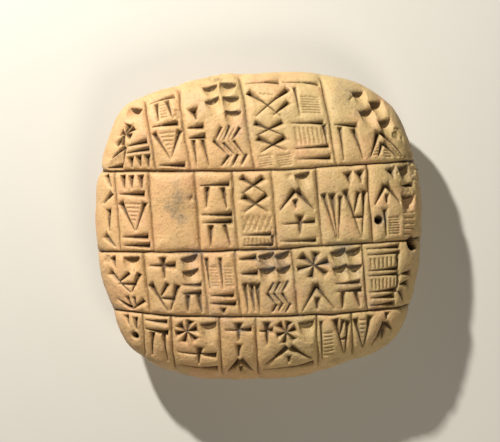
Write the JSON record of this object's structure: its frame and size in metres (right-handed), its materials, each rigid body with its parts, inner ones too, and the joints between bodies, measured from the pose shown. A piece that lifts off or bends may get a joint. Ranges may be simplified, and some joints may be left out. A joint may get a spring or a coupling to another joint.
{
  "type": "cuneiform tablet",
  "caption": "Palm-sized clay tablet with rounded edges, its face ruled into rows of cases filled with pressed wedge strokes and round number marks.",
  "frame": {"origin": "centre of the tablet's outline at the height of the small flat on its back that it rests on", "axes": "+Z out of the written face, +Y towards the top of the writing, +X to the reader's right"},
  "size_m": [0.085, 0.0798, 0.0241],
  "materials": {
    "clay": "matt, hand-smoothed, unglazed"
  },
  "bodies": {
    "root": {"tablet": "clay"}
  },
  "joints": []
}
